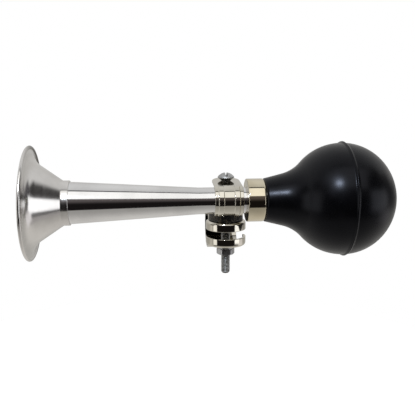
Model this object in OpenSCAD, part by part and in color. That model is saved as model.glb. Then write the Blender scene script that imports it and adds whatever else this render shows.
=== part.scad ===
// Bicycle bulb horn: bell, tapered tube, reed, rubber bulb and handlebar clamp.
// Millimetres. Origin at the centre of the handlebar bore. X runs from bell to bulb, Z is up.

/* [Part] */
// Piece to draw

/* [Bell] */
// Diameter over the bell's rim
bell_d = 61; // [54:0.5:70]
// Length from the rim's plane to the end of the socket
bell_len = 20.8; // [18:0.1:26]
// Length of the straight socket behind the flare
bell_socket_len = 3.5; // [3:0.1:6]
// Radius of the flare's curve, seen in section
flare_r = 19.5; // [18:0.5:24]
// Angle of the flare's straight cone to the axis
flare_angle = 34.5; // [31:0.5:38]
// Length of the straight cone along the axis
flare_cone_len = 8.3; // [6:0.1:11]
// Radius of the rolled bead on the rim
rim_bead_r = 0.9; // [0.6:0.05:1.3]

/* [Tube] */
// Outer radius of the tube's wide end, inside the socket
tube_front_r = 11.15; // [10:0.05:13]
// Outer radius of the straight seat under the strap
tube_seat_r = 7.2; // [6.4:0.05:8]
// Distance from the screw to the bell's rim plane
rim_to_screw = 105; // [90:1:130]
// Length of the straight seat in front of the screw
seat_len = 16; // [13:0.5:22]
// Sheet thickness of bell and tube
sheet_t = 0.8; // [0.6:0.05:1]

/* [Clamp] */
// Diameter of the handlebar
bar_d = 22.2; // [20:0.1:25.4]
// Thickness of both straps
strap_t = 1.2; // [1:0.1:1.5]
// Width of the strap round the tube
horn_strap_w = 16.4; // [14:0.1:18]
// Width of the strap round the handlebar
bar_strap_w = 18.6; // [16:0.1:20]
// Radius of the round ears at the screw
ear_r = 11.2; // [10.4:0.1:12]
// Height of the ears' turned lips, over the outside
lip_h = 5; // [3.5:0.1:5.5]
// Distance between the outer faces of the two ears
ear_span = 14.1; // [13.5:0.1:16]
// Distance from the screw to the handlebar's centre
bar_to_screw = 15.5; // [14.8:0.1:18]
// Distance from the screw to the tube's axis
tube_to_screw = 10.5; // [10.2:0.1:12]
// Thickness of the rubber pad between the straps
pad_len = 4.4; // [4.2:0.1:8]
// Radius of the rubber pad
pad_r = 9.6; // [7:0.1:9.8]
// Distance that the horn strap's legs reach past the screw
leg_reach = 8.2; // [6:0.1:9]
// Angle that the strap's upper leg rises behind the tube
leg_rise = 4.6; // [0:0.1:6]
// Height of the strap's pressed ribs
rib_h = 0.45; // [0.2:0.05:0.5]
// Width of each pressed rib
rib_w = 2.7; // [2:0.1:3]
// Distance from the strap's middle to a rib's middle
rib_x = 4.25; // [4:0.05:5]

/* [Fasteners] */
// Thread diameter
screw_d = 5; // [5:0.1:5]
// Length from the head's rim to the tip
screw_len = 55; // [50:1:60]
// Head diameter
head_d = 9.2; // [9:0.1:9.6]
// Height of the head's countersunk cone
head_cone_h = 1.5; // [1.2:0.1:2.1]
// Height of the head's raised dome
head_dome_h = 2.4; // [1.6:0.1:2.6]
// Width of the head's slot
slot_w = 1.2; // [1:0.1:1.4]
// Depth of the head's slot
slot_depth = 2; // [1.2:0.1:2.4]
// Nut width across its flats
nut_af = 9; // [8:0.1:9.5]
// Nut height
nut_h = 3.5; // [3.2:0.1:4.7]
// Flat washer's diameter
washer_d = 10; // [9:0.1:10.5]
// Flat washer's thickness
washer_t = 1; // [0.8:0.1:1.2]
// Spring washer's diameter
spring_washer_d = 8.7; // [8.4:0.1:9.2]
// Spring washer's thickness
spring_washer_t = 1.1; // [1:0.1:1.4]

/* [Ferrule] */
// Ferrule's outer radius
ferrule_r = 11.7; // [11:0.1:13]
// Ferrule's length
ferrule_len = 9.7; // [8:0.1:12]
// Distance from the screw to the ferrule
ferrule_x = 9.9; // [9:0.1:12]
// Ferrule's wall
ferrule_t = 1; // [0.8:0.1:1.2]
// Radius of the ferrule's rounded shoulder
ferrule_round = 1.6; // [1.1:0.1:2]

/* [Bulb] */
// Radius of the bulb's sphere
bulb_r = 30.6; // [28:0.1:34]
// Radius of the shoulder curve between neck and seam, seen in section
shoulder_r = 27.6; // [26:0.1:28]
// Distance from the screw to the sphere's centre
bulb_x = 61.2; // [58:0.1:66]
// Radius of the neck at the ferrule
neck_r = 12.3; // [12:0.1:13.5]
// Slope of the neck
neck_angle = 11; // [8:0.5:13]
// Radius of the hollow between neck and shoulder
neck_fillet_r = 12; // [9:0.5:15]
// Rubber wall
bulb_wall = 2.6; // [2:0.1:3.2]
// Height of the parting seam
seam_h = 0.8; // [0.4:0.1:1]
// Half width of the parting seam
seam_w = 0.9; // [0.5:0.1:1.2]

/* [Reed] */
// Radius of the nipple in the rubber neck
nipple_r = 8.2; // [7.5:0.1:8.6]
// Length of the nipple
nipple_len = 16; // [13:0.5:18]
// Thickness of the socket's flange
flange_t = 2; // [1.5:0.1:2.5]
// Length of the spigot in the tube
spigot_len = 10; // [8:0.5:12]
// Radius of the shallot
shallot_r = 4.1; // [3.8:0.05:4.4]
// Shallot's wall
shallot_wall = 0.9; // [0.8:0.05:1]
// Length of the shallot past the flange
shallot_len = 31; // [28:0.5:34]
// Height of the shallot's flat face over the axis
flat_z = 2.6; // [2.5:0.05:2.75]
// Width of the tongue
tongue_w = 5.4; // [4.8:0.1:5.8]
// Thickness of the tongue
tongue_t = 0.25; // [0.2:0.05:0.35]
// Gap between the tongue's tip and the shallot
tongue_lift = 0.9; // [0.6:0.05:1.1]
// Length of the wedge
wedge_len = 6; // [5:0.5:7]

/* [Fits] */
// Radial clearance of pieces that are pressed together
press_gap = 0.02; // [0.01:0.01:0.05]
// Radial clearance of the screw in nut and pad
run_gap = 0.05; // [0.05:0.01:0.1]
// Radial clearance of the screw in the straps
hole_gap = 0.15; // [0.1:0.05:0.3]

/* [Hidden] */
$fn = 72;
eps = 0.01;
cut = 1;
far = 60;
solder_gap = 0.3;
tube_straight = 1.5;
head_rim_h = 0.4;
tip_chamfer = 0.6;
split_w = 1;
pad_gap = 0.3;
leg_flat = 0.6;
rib_stop = 1.5;
shallot_in = 9;
flat_inset = 1;
wedge_inset = 0.3;
tip_inset = 1;
bead_share = 0.6;
bar_r = bar_d / 2;
screw_r = screw_d / 2;
ear_z = ear_span / 2;
ear_bend_in = 0.6;
ear_bend_r = strap_t + ear_bend_in;
loop_mid = bar_r + strap_t / 2;
turn_r = 2.2;
turn_z = ear_z - strap_t / 2 + turn_r;
turn_y = sqrt(pow(loop_mid + turn_r, 2) - pow(turn_z, 2));
lip_end = 2;
screw_y = -bar_to_screw;
horn_y = screw_y - tube_to_screw;
strap_r = tube_seat_r + press_gap;
strap_out = strap_r + strap_t;
horn_z = ear_z + pad_len + strap_out;
pad_back = bar_to_screw - turn_y - pad_gap;
leg_len = tube_to_screw + leg_reach;
leg_corner = horn_strap_w / 2 - leg_flat;
head_seat_r = screw_r + hole_gap;
head_z = horn_z + strap_out / cos(leg_rise) + (tube_to_screw + head_seat_r) * tan(leg_rise);
head_r = head_d / 2;
head_rim = head_cone_h + head_rim_h;
head_dome_r = (head_r * head_r + head_dome_h * head_dome_h) / (2 * head_dome_h);
head_top = head_rim + head_dome_h;
screw_under = screw_len - head_rim;
washer_top = -ear_z - press_gap;
spring_top = washer_top - washer_t - press_gap;
nut_top = spring_top - spring_washer_t - press_gap;
rim_x = -rim_to_screw;
socket_end = rim_x + bell_len;
socket_start = socket_end - bell_socket_len;
socket_in = tube_front_r + press_gap;
socket_out = socket_in + sheet_t;
cone_x = socket_start - flare_cone_len;
cone_r = socket_out + flare_cone_len * tan(flare_angle);
arc_x = cone_x + flare_r * sin(flare_angle);
arc_r = cone_r + flare_r * cos(flare_angle);
rim_r = bell_d / 2 - rim_bead_r;
rim_arc = acos((arc_r - rim_r) / (flare_r + sheet_t / 2));
bead_x = arc_x - (flare_r + sheet_t / 2) * sin(rim_arc);
tube_start = socket_start + solder_gap;
tube_cone_x = socket_end + tube_straight;
tube_end = ferrule_x + ferrule_t;
flange_x = tube_end;
flange_end = flange_x + flange_t;
ferrule_end = ferrule_x + ferrule_len;
ferrule_in = ferrule_r - ferrule_t;
neck_out = ferrule_in - press_gap;
bead_pos = flange_end + nipple_len * bead_share;
nipple_bead_r = 0.7;
shallot_end = flange_end + shallot_len;
shallot_start = flange_end - shallot_in;
flat_start = flange_end + flat_inset;
wedge_start = flat_start + wedge_inset;
wedge_end = wedge_start + wedge_len;
tongue_end = shallot_end - tip_inset;
bore_r = shallot_r + press_gap;
slope = tan(neck_angle);
shoulder_y = bulb_r - shoulder_r;
fillet_a = neck_r - slope * ferrule_end + neck_fillet_r / cos(neck_angle);
fillet_rise = fillet_a - shoulder_y;
quad_a = 1 + slope * slope;
quad_b = 2 * (fillet_rise * slope - bulb_x);
quad_c = bulb_x * bulb_x + fillet_rise * fillet_rise - pow(shoulder_r + neck_fillet_r, 2);
fillet_x = (-quad_b - sqrt(quad_b * quad_b - 4 * quad_a * quad_c)) / (2 * quad_a);
fillet_y = fillet_a + slope * fillet_x;
tan_line_x = fillet_x + neck_fillet_r * sin(neck_angle);
tan_line_r = fillet_y - neck_fillet_r * cos(neck_angle);
tan_ball = shoulder_r / (shoulder_r + neck_fillet_r);
tan_ball_x = bulb_x + (fillet_x - bulb_x) * tan_ball;
tan_ball_r = shoulder_y + (fillet_y - shoulder_y) * tan_ball;

// Places a profile drawn as [radius, distance along the horn] round the horn's axis
module turned() {
  translate([0, horn_y, horn_z])
    rotate([0, 90, 0])
      rotate_extrude($fn = 96)
        children();
}

// Places a piece drawn about the screw's axis
module at_screw(z) {
  translate([0, screw_y, z])
    children();
}

// Bell in section: curved flare, cone, socket and rolled rim
module bell_section() {
  intersection() {
    translate([arc_r, arc_x])
      difference() {
        circle(flare_r + sheet_t, $fn = 180);
        circle(flare_r, $fn = 180);
      }
    polygon([[arc_r, arc_x],
             [arc_r - far * cos(flare_angle), arc_x - far * sin(flare_angle)],
             [0, arc_x - far],
             [arc_r - far * cos(rim_arc), arc_x - far * sin(rim_arc)]]);
  }
  translate([rim_r, bead_x])
    circle(rim_bead_r);
  polygon([[cone_r, cone_x],
           [socket_out, socket_start],
           [socket_out, socket_end],
           [socket_in, socket_end],
           [socket_in, socket_start],
           [cone_r - sheet_t * cos(flare_angle), cone_x - sheet_t * sin(flare_angle)]]);
}

module bell() {
  color([0.72, 0.71, 0.69])
    turned()
      bell_section();
}

module horn_tube() {
  color([0.70, 0.70, 0.69])
    turned()
      polygon([[tube_front_r, tube_start],
               [tube_front_r, tube_cone_x],
               [tube_seat_r, -seat_len],
               [tube_seat_r, tube_end],
               [tube_seat_r - sheet_t, tube_end],
               [tube_seat_r - sheet_t, -seat_len],
               [tube_front_r - sheet_t, tube_cone_x],
               [tube_front_r - sheet_t, tube_start]]);
}

// Filled U of the horn strap, seen along the tube: [away from the tube's axis, height]
module strap_outline(r, len) {
  circle(r);
  top = r - eps;
  polygon([[0, -r],
           [len, -r],
           [len, top / cos(leg_rise) + len * tan(leg_rise)],
           [-top * sin(leg_rise), top * cos(leg_rise)]]);
}

module strap_section() {
  difference() {
    strap_outline(strap_out, leg_len + cut);
    strap_outline(strap_r, leg_len + 2 * cut);
  }
}

// Turns a section seen along the tube into a strip of the given width
module strip(x, w) {
  translate([x - w / 2, horn_y, horn_z])
    rotate([90, 0, 90])
      linear_extrude(w)
        children();
}

module strap_plan() {
  union() {
    translate([-horn_strap_w / 2, -far])
      square([horn_strap_w, far + leg_len - leg_corner]);
    for (side = [-1, 1])
      translate([side * (horn_strap_w / 2 - leg_corner), leg_len - leg_corner])
        circle(leg_corner);
    translate([-(horn_strap_w / 2 - leg_corner), 0])
      square([horn_strap_w - 2 * leg_corner, leg_len]);
  }
}

module horn_strap() {
  color([0.80, 0.77, 0.71])
    difference() {
      intersection() {
        strip(0, horn_strap_w + 2 * cut)
          strap_section();
        translate([0, horn_y, horn_z - far])
          linear_extrude(2 * far)
            strap_plan();
      }
      at_screw(horn_z - far)
        cylinder(r = head_seat_r, h = 2 * far);
    }
  color([0.80, 0.77, 0.71])
    for (side = [-1, 1])
      strip(side * rib_x, rib_w)
        difference() {
          circle(strap_out + rib_h);
          circle(strap_out - eps);
          translate([-rib_stop, -far])
            square([far, 2 * far]);
        }
}

// Raised countersunk head in section: [radius, height over the strap]
module head_section() {
  polygon([[0, 0],
           [screw_r, 0],
           [head_r, head_cone_h],
           [head_r, head_rim],
           [0, head_rim]]);
  intersection() {
    translate([0, head_top - head_dome_r])
      circle(head_dome_r);
    translate([0, head_rim - eps])
      square([head_r, head_dome_h + cut]);
  }
}

module clamp_screw() {
  color([0.66, 0.66, 0.67])
    at_screw(head_z) {
      difference() {
        rotate_extrude()
          head_section();
        translate([-slot_w / 2, -head_d, head_top - slot_depth])
          cube([slot_w, 2 * head_d, slot_depth + cut]);
      }
      translate([0, 0, tip_chamfer - screw_under])
        cylinder(r = screw_r, h = screw_under - tip_chamfer);
      translate([0, 0, -screw_under])
        cylinder(r1 = screw_r - tip_chamfer, r2 = screw_r, h = tip_chamfer);
    }
}

// Rubber pad that the horn swivels on, cut straight in front of the handlebar loop
module swivel_pad() {
  color([0.06, 0.06, 0.065])
    at_screw(ear_z + press_gap)
      difference() {
        intersection() {
          cylinder(r = pad_r, h = pad_len - 2 * press_gap);
          translate([-far, pad_back - far, -cut])
            cube([2 * far, far, pad_len + 2 * cut]);
        }
        translate([0, 0, -cut])
          cylinder(r = screw_r + run_gap, h = pad_len + 2 * cut);
      }
}

// Outline of the handlebar strap seen along the bar: loop, turned shoulders and the way to the ears
module loop_outline(grow, front) {
  circle(bar_r + grow);
  translate([front, -ear_z + strap_t - grow])
    square([-front, 2 * (ear_z - strap_t + grow)]);
  for (side = [-1, 1])
    scale([1, side])
      difference() {
        polygon([[0, 0],
                 [-turn_y, 0],
                 [-turn_y, ear_z - strap_t + grow],
                 [-turn_y * (bar_r + grow) / (loop_mid + turn_r),
                  turn_z * (bar_r + grow) / (loop_mid + turn_r)]]);
        translate([-turn_y, turn_z])
          circle(turn_r + strap_t / 2 - grow);
      }
}

module loop_section() {
  difference() {
    loop_outline(strap_t, screw_y + lip_end);
    loop_outline(0, screw_y + lip_end - cut);
  }
}

// Dished ear about the screw, in section: [radius, height], with its web on top
module ear_section() {
  difference() {
    union() {
      translate([0, -lip_h])
        square([ear_r, lip_h - ear_bend_r]);
      translate([0, -ear_bend_r])
        square([ear_r - ear_bend_r, ear_bend_r]);
      intersection() {
        translate([ear_r - ear_bend_r, -ear_bend_r])
          circle(ear_bend_r);
        translate([ear_r - ear_bend_r, -ear_bend_r])
          square(ear_bend_r);
      }
    }
    translate([-cut, -lip_h - cut])
      square([ear_r - strap_t + cut, lip_h + cut - strap_t - ear_bend_in]);
    translate([-cut, -strap_t - ear_bend_in - eps])
      square([ear_r - strap_t - ear_bend_in + cut, ear_bend_in + eps]);
    translate([ear_r - strap_t - ear_bend_in, -strap_t - ear_bend_in])
      circle(ear_bend_in);
  }
}

module ear() {
  at_screw(0)
    intersection() {
      translate([0, 0, ear_z])
        rotate_extrude()
          ear_section();
      translate([-far, lip_end - far, -far])
        cube([2 * far, far, 2 * far]);
    }
}

module handlebar_strap() {
  color([0.80, 0.77, 0.71])
    difference() {
      union() {
        translate([-bar_strap_w / 2, 0, 0])
          rotate([90, 0, 90])
            linear_extrude(bar_strap_w)
              loop_section();
        ear();
        mirror([0, 0, 1])
          ear();
      }
      at_screw(-far)
        cylinder(r = screw_r + hole_gap, h = 2 * far);
    }
}

module flat_washer() {
  color([0.68, 0.68, 0.68])
    at_screw(washer_top - washer_t)
      difference() {
        cylinder(r = washer_d / 2, h = washer_t);
        translate([0, 0, -cut])
          cylinder(r = screw_r + hole_gap, h = washer_t + 2 * cut);
      }
}

module spring_washer() {
  color([0.60, 0.60, 0.61])
    at_screw(spring_top - spring_washer_t)
      difference() {
        cylinder(r = spring_washer_d / 2, h = spring_washer_t);
        translate([0, 0, -cut])
          cylinder(r = screw_r + hole_gap, h = spring_washer_t + 2 * cut);
        translate([0, -split_w / 2, -cut])
          cube([spring_washer_d, split_w, spring_washer_t + 2 * cut]);
      }
}

module hex_nut() {
  color([0.66, 0.66, 0.67])
    at_screw(nut_top - nut_h)
      difference() {
        cylinder(r = nut_af / 2 / cos(30), h = nut_h, $fn = 6);
        translate([0, 0, -cut])
          cylinder(r = screw_r + run_gap, h = nut_h + 2 * cut);
      }
}

module ferrule_section() {
  difference() {
    union() {
      translate([0, ferrule_x])
        square([ferrule_r - ferrule_round, ferrule_len]);
      translate([0, ferrule_x + ferrule_round])
        square([ferrule_r, ferrule_len - ferrule_round - ferrule_t / 2]);
      translate([ferrule_r - ferrule_round, ferrule_x + ferrule_round])
        circle(ferrule_round);
      translate([0, ferrule_end - ferrule_t])
        square([ferrule_r - ferrule_t / 2, ferrule_t]);
      translate([ferrule_r - ferrule_t / 2, ferrule_end - ferrule_t / 2])
        circle(ferrule_t / 2);
    }
    translate([-cut, ferrule_x + ferrule_t])
      square([ferrule_in + cut, ferrule_len]);
    translate([-cut, ferrule_x - cut])
      square([tube_seat_r + press_gap + cut, ferrule_len]);
  }
}

module bulb_ferrule() {
  color([0.82, 0.79, 0.72])
    turned()
      ferrule_section();
}

module reed_socket() {
  color([0.78, 0.62, 0.30])
    turned()
      difference() {
        union() {
          translate([0, flange_x - spigot_len])
            square([tube_seat_r - sheet_t - press_gap, spigot_len]);
          translate([0, flange_x])
            square([neck_out, flange_t]);
          translate([0, flange_end])
            square([nipple_r, nipple_len]);
          translate([nipple_r, bead_pos])
            circle(nipple_bead_r);
        }
        translate([-cut, flange_x - spigot_len - cut])
          square([bore_r + cut, spigot_len + flange_t + nipple_len + 2 * cut]);
      }
}

module reed_shallot() {
  color([0.80, 0.64, 0.31])
    difference() {
      turned()
        difference() {
          translate([0, shallot_start])
            square([shallot_r, shallot_end - shallot_start]);
          translate([-cut, shallot_start - shallot_wall])
            square([shallot_r - shallot_wall + cut, shallot_end - shallot_start]);
        }
      translate([flat_start, horn_y - shallot_r - cut, horn_z + flat_z])
        cube([shallot_len + cut, 2 * (shallot_r + cut), shallot_r]);
    }
}

module reed_tongue() {
  color([0.85, 0.69, 0.34])
    translate([0, horn_y + tongue_w / 2, horn_z + flat_z])
      rotate([90, 0, 0])
        linear_extrude(tongue_w)
          polygon([[wedge_start, 0],
                   [wedge_end, 0],
                   [tongue_end, tongue_lift],
                   [tongue_end, tongue_lift + tongue_t],
                   [wedge_end, tongue_t],
                   [wedge_start, tongue_t]]);
}

module reed_wedge() {
  color([0.76, 0.60, 0.29])
    intersection() {
      turned()
        translate([0, wedge_start])
          square([bore_r - press_gap, wedge_len]);
      translate([wedge_start - cut, horn_y - far, horn_z + flat_z + tongue_t])
        cube([wedge_len + 2 * cut, 2 * far, far]);
    }
}

// Neck, hollow and shoulder of the rubber bulb in section, closed on the axis
module neck_outline() {
  translate([shoulder_y, bulb_x])
    circle(shoulder_r, $fn = 180);
  difference() {
    polygon([[0, ferrule_end],
             [neck_r, ferrule_end],
             [tan_line_r, tan_line_x],
             [tan_ball_r, tan_ball_x],
             [0, bulb_x]]);
    translate([fillet_y, fillet_x])
      circle(neck_fillet_r, $fn = 120);
  }
  translate([0, flange_end])
    square([neck_out, ferrule_end - flange_end + eps]);
}

// Space inside the neck half: shoulder and the neck's bore over the nipple
module neck_hollow() {
  translate([shoulder_y, bulb_x])
    circle(shoulder_r - bulb_wall, $fn = 180);
  translate([-cut, flange_end - cut])
    square([nipple_r + press_gap + cut, bulb_x - flange_end]);
  translate([nipple_r, bead_pos])
    circle(nipple_bead_r + press_gap);
}

module seam_bead() {
  translate([bulb_r + seam_h - seam_w, bulb_x])
    circle(seam_w);
}

module bulb_neck_half() {
  color([0.06, 0.06, 0.065])
    turned()
      intersection() {
        difference() {
          union() {
            neck_outline();
            seam_bead();
          }
          neck_hollow();
        }
        translate([0, flange_end])
          square([far, bulb_x - flange_end]);
      }
}

module bulb_dome_half() {
  color([0.06, 0.06, 0.065])
    turned()
      intersection() {
        difference() {
          union() {
            translate([0, bulb_x])
              circle(bulb_r, $fn = 180);
            seam_bead();
          }
          translate([0, bulb_x])
            circle(bulb_r - bulb_wall, $fn = 180);
        }
        translate([0, bulb_x])
          square(far);
      }
}

bell();
horn_tube();
horn_strap();
clamp_screw();
swivel_pad();
handlebar_strap();
flat_washer();
spring_washer();
hex_nut();
bulb_ferrule();
reed_socket();
reed_shallot();
reed_tongue();
reed_wedge();
bulb_neck_half();
bulb_dome_half();
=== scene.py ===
"""Looks of a bicycle bulb horn: nickel-plated bell, tube and clamp, brass reed and a black rubber bulb.

The scene is in metres and in the part's own frame: the origin is the handlebar bore's centre, X runs from
bell to bulb and Z is up. Sizes and places of the horn that are named below are millimetres.
"""

import math

import bmesh
import bpy
from mathutils import Matrix, Vector


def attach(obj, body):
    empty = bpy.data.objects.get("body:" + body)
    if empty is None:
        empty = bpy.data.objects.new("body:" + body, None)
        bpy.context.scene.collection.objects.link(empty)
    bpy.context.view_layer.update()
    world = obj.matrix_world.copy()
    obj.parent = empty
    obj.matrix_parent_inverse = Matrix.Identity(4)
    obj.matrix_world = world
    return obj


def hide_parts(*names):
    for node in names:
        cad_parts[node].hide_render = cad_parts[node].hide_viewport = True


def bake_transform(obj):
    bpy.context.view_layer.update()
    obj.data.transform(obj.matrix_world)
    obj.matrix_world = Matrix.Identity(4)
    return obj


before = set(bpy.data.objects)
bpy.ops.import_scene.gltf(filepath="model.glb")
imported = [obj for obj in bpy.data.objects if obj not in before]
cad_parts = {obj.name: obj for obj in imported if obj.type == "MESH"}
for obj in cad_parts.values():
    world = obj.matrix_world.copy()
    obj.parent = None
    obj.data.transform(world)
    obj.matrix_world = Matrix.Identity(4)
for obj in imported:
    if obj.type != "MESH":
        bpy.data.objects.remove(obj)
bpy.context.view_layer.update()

MM = 0.001
HORN_Y, HORN_Z = -26.0, 19.87
SCREW_Y = -15.5
PRESS_GAP, SEAT_GAP = 0.02, 0.02

# Bell and tube
SHEET = 0.8
RIM_R, RIM_X, BEAD_R = 29.6, -104.4, 0.9
FLARE_R, FLARE_ANGLE = 11.75, math.radians(34.5)
CONE_LEN = 11.6
SOCKET_IN, SOCKET_START, SOCKET_STRAIGHT, SOCKET_END = 11.17, -87.7, -86.7, -84.2
SOCKET_BEND, SOCKET_EDGE_IN, SOCKET_EDGE_OUT = 1.6, 0.15, 0.25
LEAN_LEN, LEAN_Y, LEAN_Z = 12.0, 0.014, 0.013
TUBE_FRONT_R, TUBE_SEAT_R = 11.15, 7.2
TUBE_START, TUBE_CONE, TUBE_SEAT, TUBE_END = -87.4, -82.7, -16.0, 10.9
TUBE_FRONT_BEND, TUBE_SEAT_BEND, TUBE_EDGE = 3, 6, 0.15

# Strap round the tube
STRAP_T, STRAP_HALF, STRAP_EDGE = 1.2, 7.65, 0.25
STRAP_OUT = TUBE_SEAT_R + PRESS_GAP + STRAP_T
LEG_END, LEG_CORNER, LEG_RISE = 18.7, 7.6, math.radians(4.6)
LEG_STOPS = (8.0, 4.0)
RIB_X, RIB_HALF, RIB_H, RIB_FLAT = 4.25, 1.65, 0.4, 0.7
RIB_STOP, RIB_FADE = 1.5, 1.6

# Strap round the handlebar
BAR_R, BAR_HALF, TURN_R = 11.1, 9.3, 2.2
EAR_R, EAR_Z, LIP_H, LIP_END = 11.2, 7.05, 5.0, 2.0
EAR_BEND, EAR_BEND_IN, LIP_EDGE = 1.8, 0.6, 0.3
LOOP_THIN = 0.01

# Screw and what sits on it
SCREW_R, PITCH, THREAD_LEN = 2.5, 0.8, 46.0
SCREW_LEN = 55.0
MINOR_R = SCREW_R - 0.36
FLANK_R, CREST_R = MINOR_R + 0.16, SCREW_R - 0.06
TIP_R, TIP_SLOPE = MINOR_R - 0.35, 0.8
THREAD_TOP_R, SHANK_R, SHANK_LAP = SCREW_R - 0.05, SCREW_R - 0.04, 0.2
HOLE_R, SNUG_R = SCREW_R + 0.15, SCREW_R + 0.05
LEG_REACH = SCREW_Y - HORN_Y + HOLE_R
HEAD_Z = HORN_Z + STRAP_OUT / math.cos(LEG_RISE) + LEG_REACH * math.tan(LEG_RISE)
HEAD_R, HEAD_CONE, HEAD_RIM, HEAD_DOME = 4.6, 1.5, 1.9, 2.4
HEAD_EDGE, HEAD_EDGE_LOW, DOME_SHARE = 0.06, 0.08, 0.985
SLOT_W, SLOT_DEPTH, SLOT_EDGE = 1.2, 2.0, 0.1
TIP_Z = HEAD_Z + HEAD_RIM - SCREW_LEN
PAD_T, PAD_R, PAD_BACK, PAD_EDGE = 4.4, 9.6, 4.3, 0.35
WASHER_T, WASHER_R, WASHER_EDGE = 1.0, 5.0, 0.18
WASHER_TOP = -EAR_Z - SEAT_GAP
SPRING_T, SPRING_R, SPRING_SPLIT = 1.1, 4.35, math.radians(7)
SPRING_EDGE_IN, SPRING_EDGE_OUT = 0.12, 0.15
SPRING_TOP = WASHER_TOP - WASHER_T - SEAT_GAP
NUT_H, NUT_HALF, NUT_CROWN, NUT_CHAMFER = 3.5, 4.5, 0.97, math.radians(30)
NUT_SINK, NUT_EDGE, NUT_ROUND, NUT_LIFT, NUT_BLUNT = 0.35, 0.08, 0.03, 0.02, 0.12
NUT_TOP = SPRING_TOP - SPRING_T - SEAT_GAP

# Ferrule and bulb
FERRULE_START, FERRULE_END, FERRULE_R, FERRULE_T = 9.8, 19.6, 11.7, 1.0
FERRULE_ROUND, FERRULE_BEND_IN, FERRULE_EDGE = 0.5, 0.6, 0.15
TUCK_LEN, TUCK_IN, TUCK_BEND, TUCK_EDGE, TUCK_EDGE_IN = 1.25, 0.65, 1.0, 0.2, 0.1
FLANGE_END, FLANGE_GAP = 12.9, 0.1
BULB_R, BULB_X, SHOULDER_R = 30.6, 62.5, 29.7
BULB_REAR = 0.957
NECK_R, NECK_ANGLE, NECK_FILLET = 11.75, math.radians(14), 22.0
NECK_GAP, NECK_STEP_X, NECK_STEP_R = 0.05, 0.3, 0.4
BULB_WALL = 2.6
NIPPLE_R = 8.2
SEAM_H, SEAM_W, SEAM_REACH = 0.74, 0.62, 4
# Waves round the bulb: (size, number of waves, start)
SEAM_WANDER = ((0.10, 3, 0.7), (0.06, 7, 2.1))
SEAM_UNEVEN = ((0.16, 5, 0.4), (0.10, 13, 0.0))

# How meshes are made: steps, shares of a length, a cutter's reach past its piece
FLARE_STEPS, BEAD_STEPS, BEAD_CLEAR = 26, 20, 1.02
RIB_STEPS, EDGE_STEPS, STRAP_STEPS = 6, 4, 56
EDGE_ANGLES = (math.pi / 2, 0.8, 0.4, 0)
THREAD_AROUND, THREAD_ROWS = 48, 8
SIDE_SHARE = 0.49
BEYOND = 20.0
# Distances in metres under which points are joined, in a new mesh and after a cut
WELD, CUT_WELD = 1e-7, 2e-6


# Meshes


def horn_axis(along, radius, angle):
    """A point round the horn's axis, in millimetres."""
    return (along, HORN_Y + radius * math.cos(angle), HORN_Z + radius * math.sin(angle))


def screw_axis(along, radius, angle):
    """A point round the screw's axis, in millimetres."""
    return (radius * math.cos(angle), SCREW_Y + radius * math.sin(angle), along)


def arc(centre, radius, first, last, steps):
    """Points along an arc in a plane, both ends included."""
    points = []
    for k in range(steps + 1):
        angle = first + (last - first) * k / steps
        points.append((centre[0] + radius * math.cos(angle), centre[1] + radius * math.sin(angle)))
    return points


def corner(before, here, after, fillet, steps=4):
    """Points that round one corner of an outline by a fillet, as far as its two sides have room."""
    here = Vector(here)
    back, ahead = Vector(before) - here, Vector(after) - here
    room = min(back.length, ahead.length) * SIDE_SHARE
    reach = min(fillet / math.tan(back.angle(ahead) / 2), room)
    start, end = here + back.normalized() * reach, here + ahead.normalized() * reach
    points = []
    for k in range(steps + 1):
        t = k / steps
        p = start * (1 - t) ** 2 + here * (2 * t * (1 - t)) + end * t * t
        points.append((p.x, p.y))
    return points


def rounded(corners, steps=4):
    """Closed outline through corners (along, radius, fillet), each corner rounded by its fillet."""
    points = []
    for i, (along, radius, fillet) in enumerate(corners):
        if fillet > 0:
            before, after = corners[i - 1], corners[(i + 1) % len(corners)]
            points += corner(before[:2], (along, radius), after[:2], fillet, steps)
        else:
            points.append((along, radius))
    return points


def make(name, verts, faces):
    """A new smooth object from points in millimetres."""
    mesh = bpy.data.meshes.new(name)
    mesh.from_pydata([Vector(v) * MM for v in verts], [], faces)
    bm = bmesh.new()
    bm.from_mesh(mesh)
    bmesh.ops.remove_doubles(bm, verts=bm.verts, dist=WELD)
    bmesh.ops.dissolve_degenerate(bm, edges=bm.edges, dist=WELD)
    bmesh.ops.recalc_face_normals(bm, faces=bm.faces)
    bm.to_mesh(mesh)
    bm.free()
    obj = bpy.data.objects.new(name, mesh)
    bpy.context.scene.collection.objects.link(obj)
    mesh.shade_smooth()
    return obj


def lofted(name, loops, closed):
    """Joins loops of equal length, either into a ring or into a bar with two end faces."""
    count = len(loops[0])
    verts = [p for loop in loops for p in loop]
    faces = []
    for s in range(len(loops) if closed else len(loops) - 1):
        n = (s + 1) % len(loops)
        for k in range(count):
            m = (k + 1) % count
            faces.append((s * count + k, s * count + m, n * count + m, n * count + k))
    if not closed:
        faces.append(tuple(range(count)))
        faces.append(tuple(range(len(verts) - count, len(verts))))
    return make(name, verts, faces)


def turned(name, outline, place, segments, shape=None):
    """Turns a closed outline of (along, radius) round an axis; shape moves a point by its angle."""
    loops = []
    for s in range(segments):
        angle = 2 * math.pi * s / segments
        moved = [shape(a, r, angle) for a, r in outline] if shape else outline
        loops.append([place(a, max(r, 0), angle) for a, r in moved])
    return lofted(name, loops, True)


def box(name, low, high):
    """A plain box between two corners in millimetres."""
    xs, ys, zs = zip(low, high)
    loops = [[(x, ys[0], zs[0]), (x, ys[1], zs[0]), (x, ys[1], zs[1]), (x, ys[0], zs[1])] for x in xs]
    return lofted(name, loops, False)


def evaluated_mesh(obj):
    """A new mesh with the object's modifiers applied."""
    return bpy.data.meshes.new_from_object(obj.evaluated_get(bpy.context.evaluated_depsgraph_get()))


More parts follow.
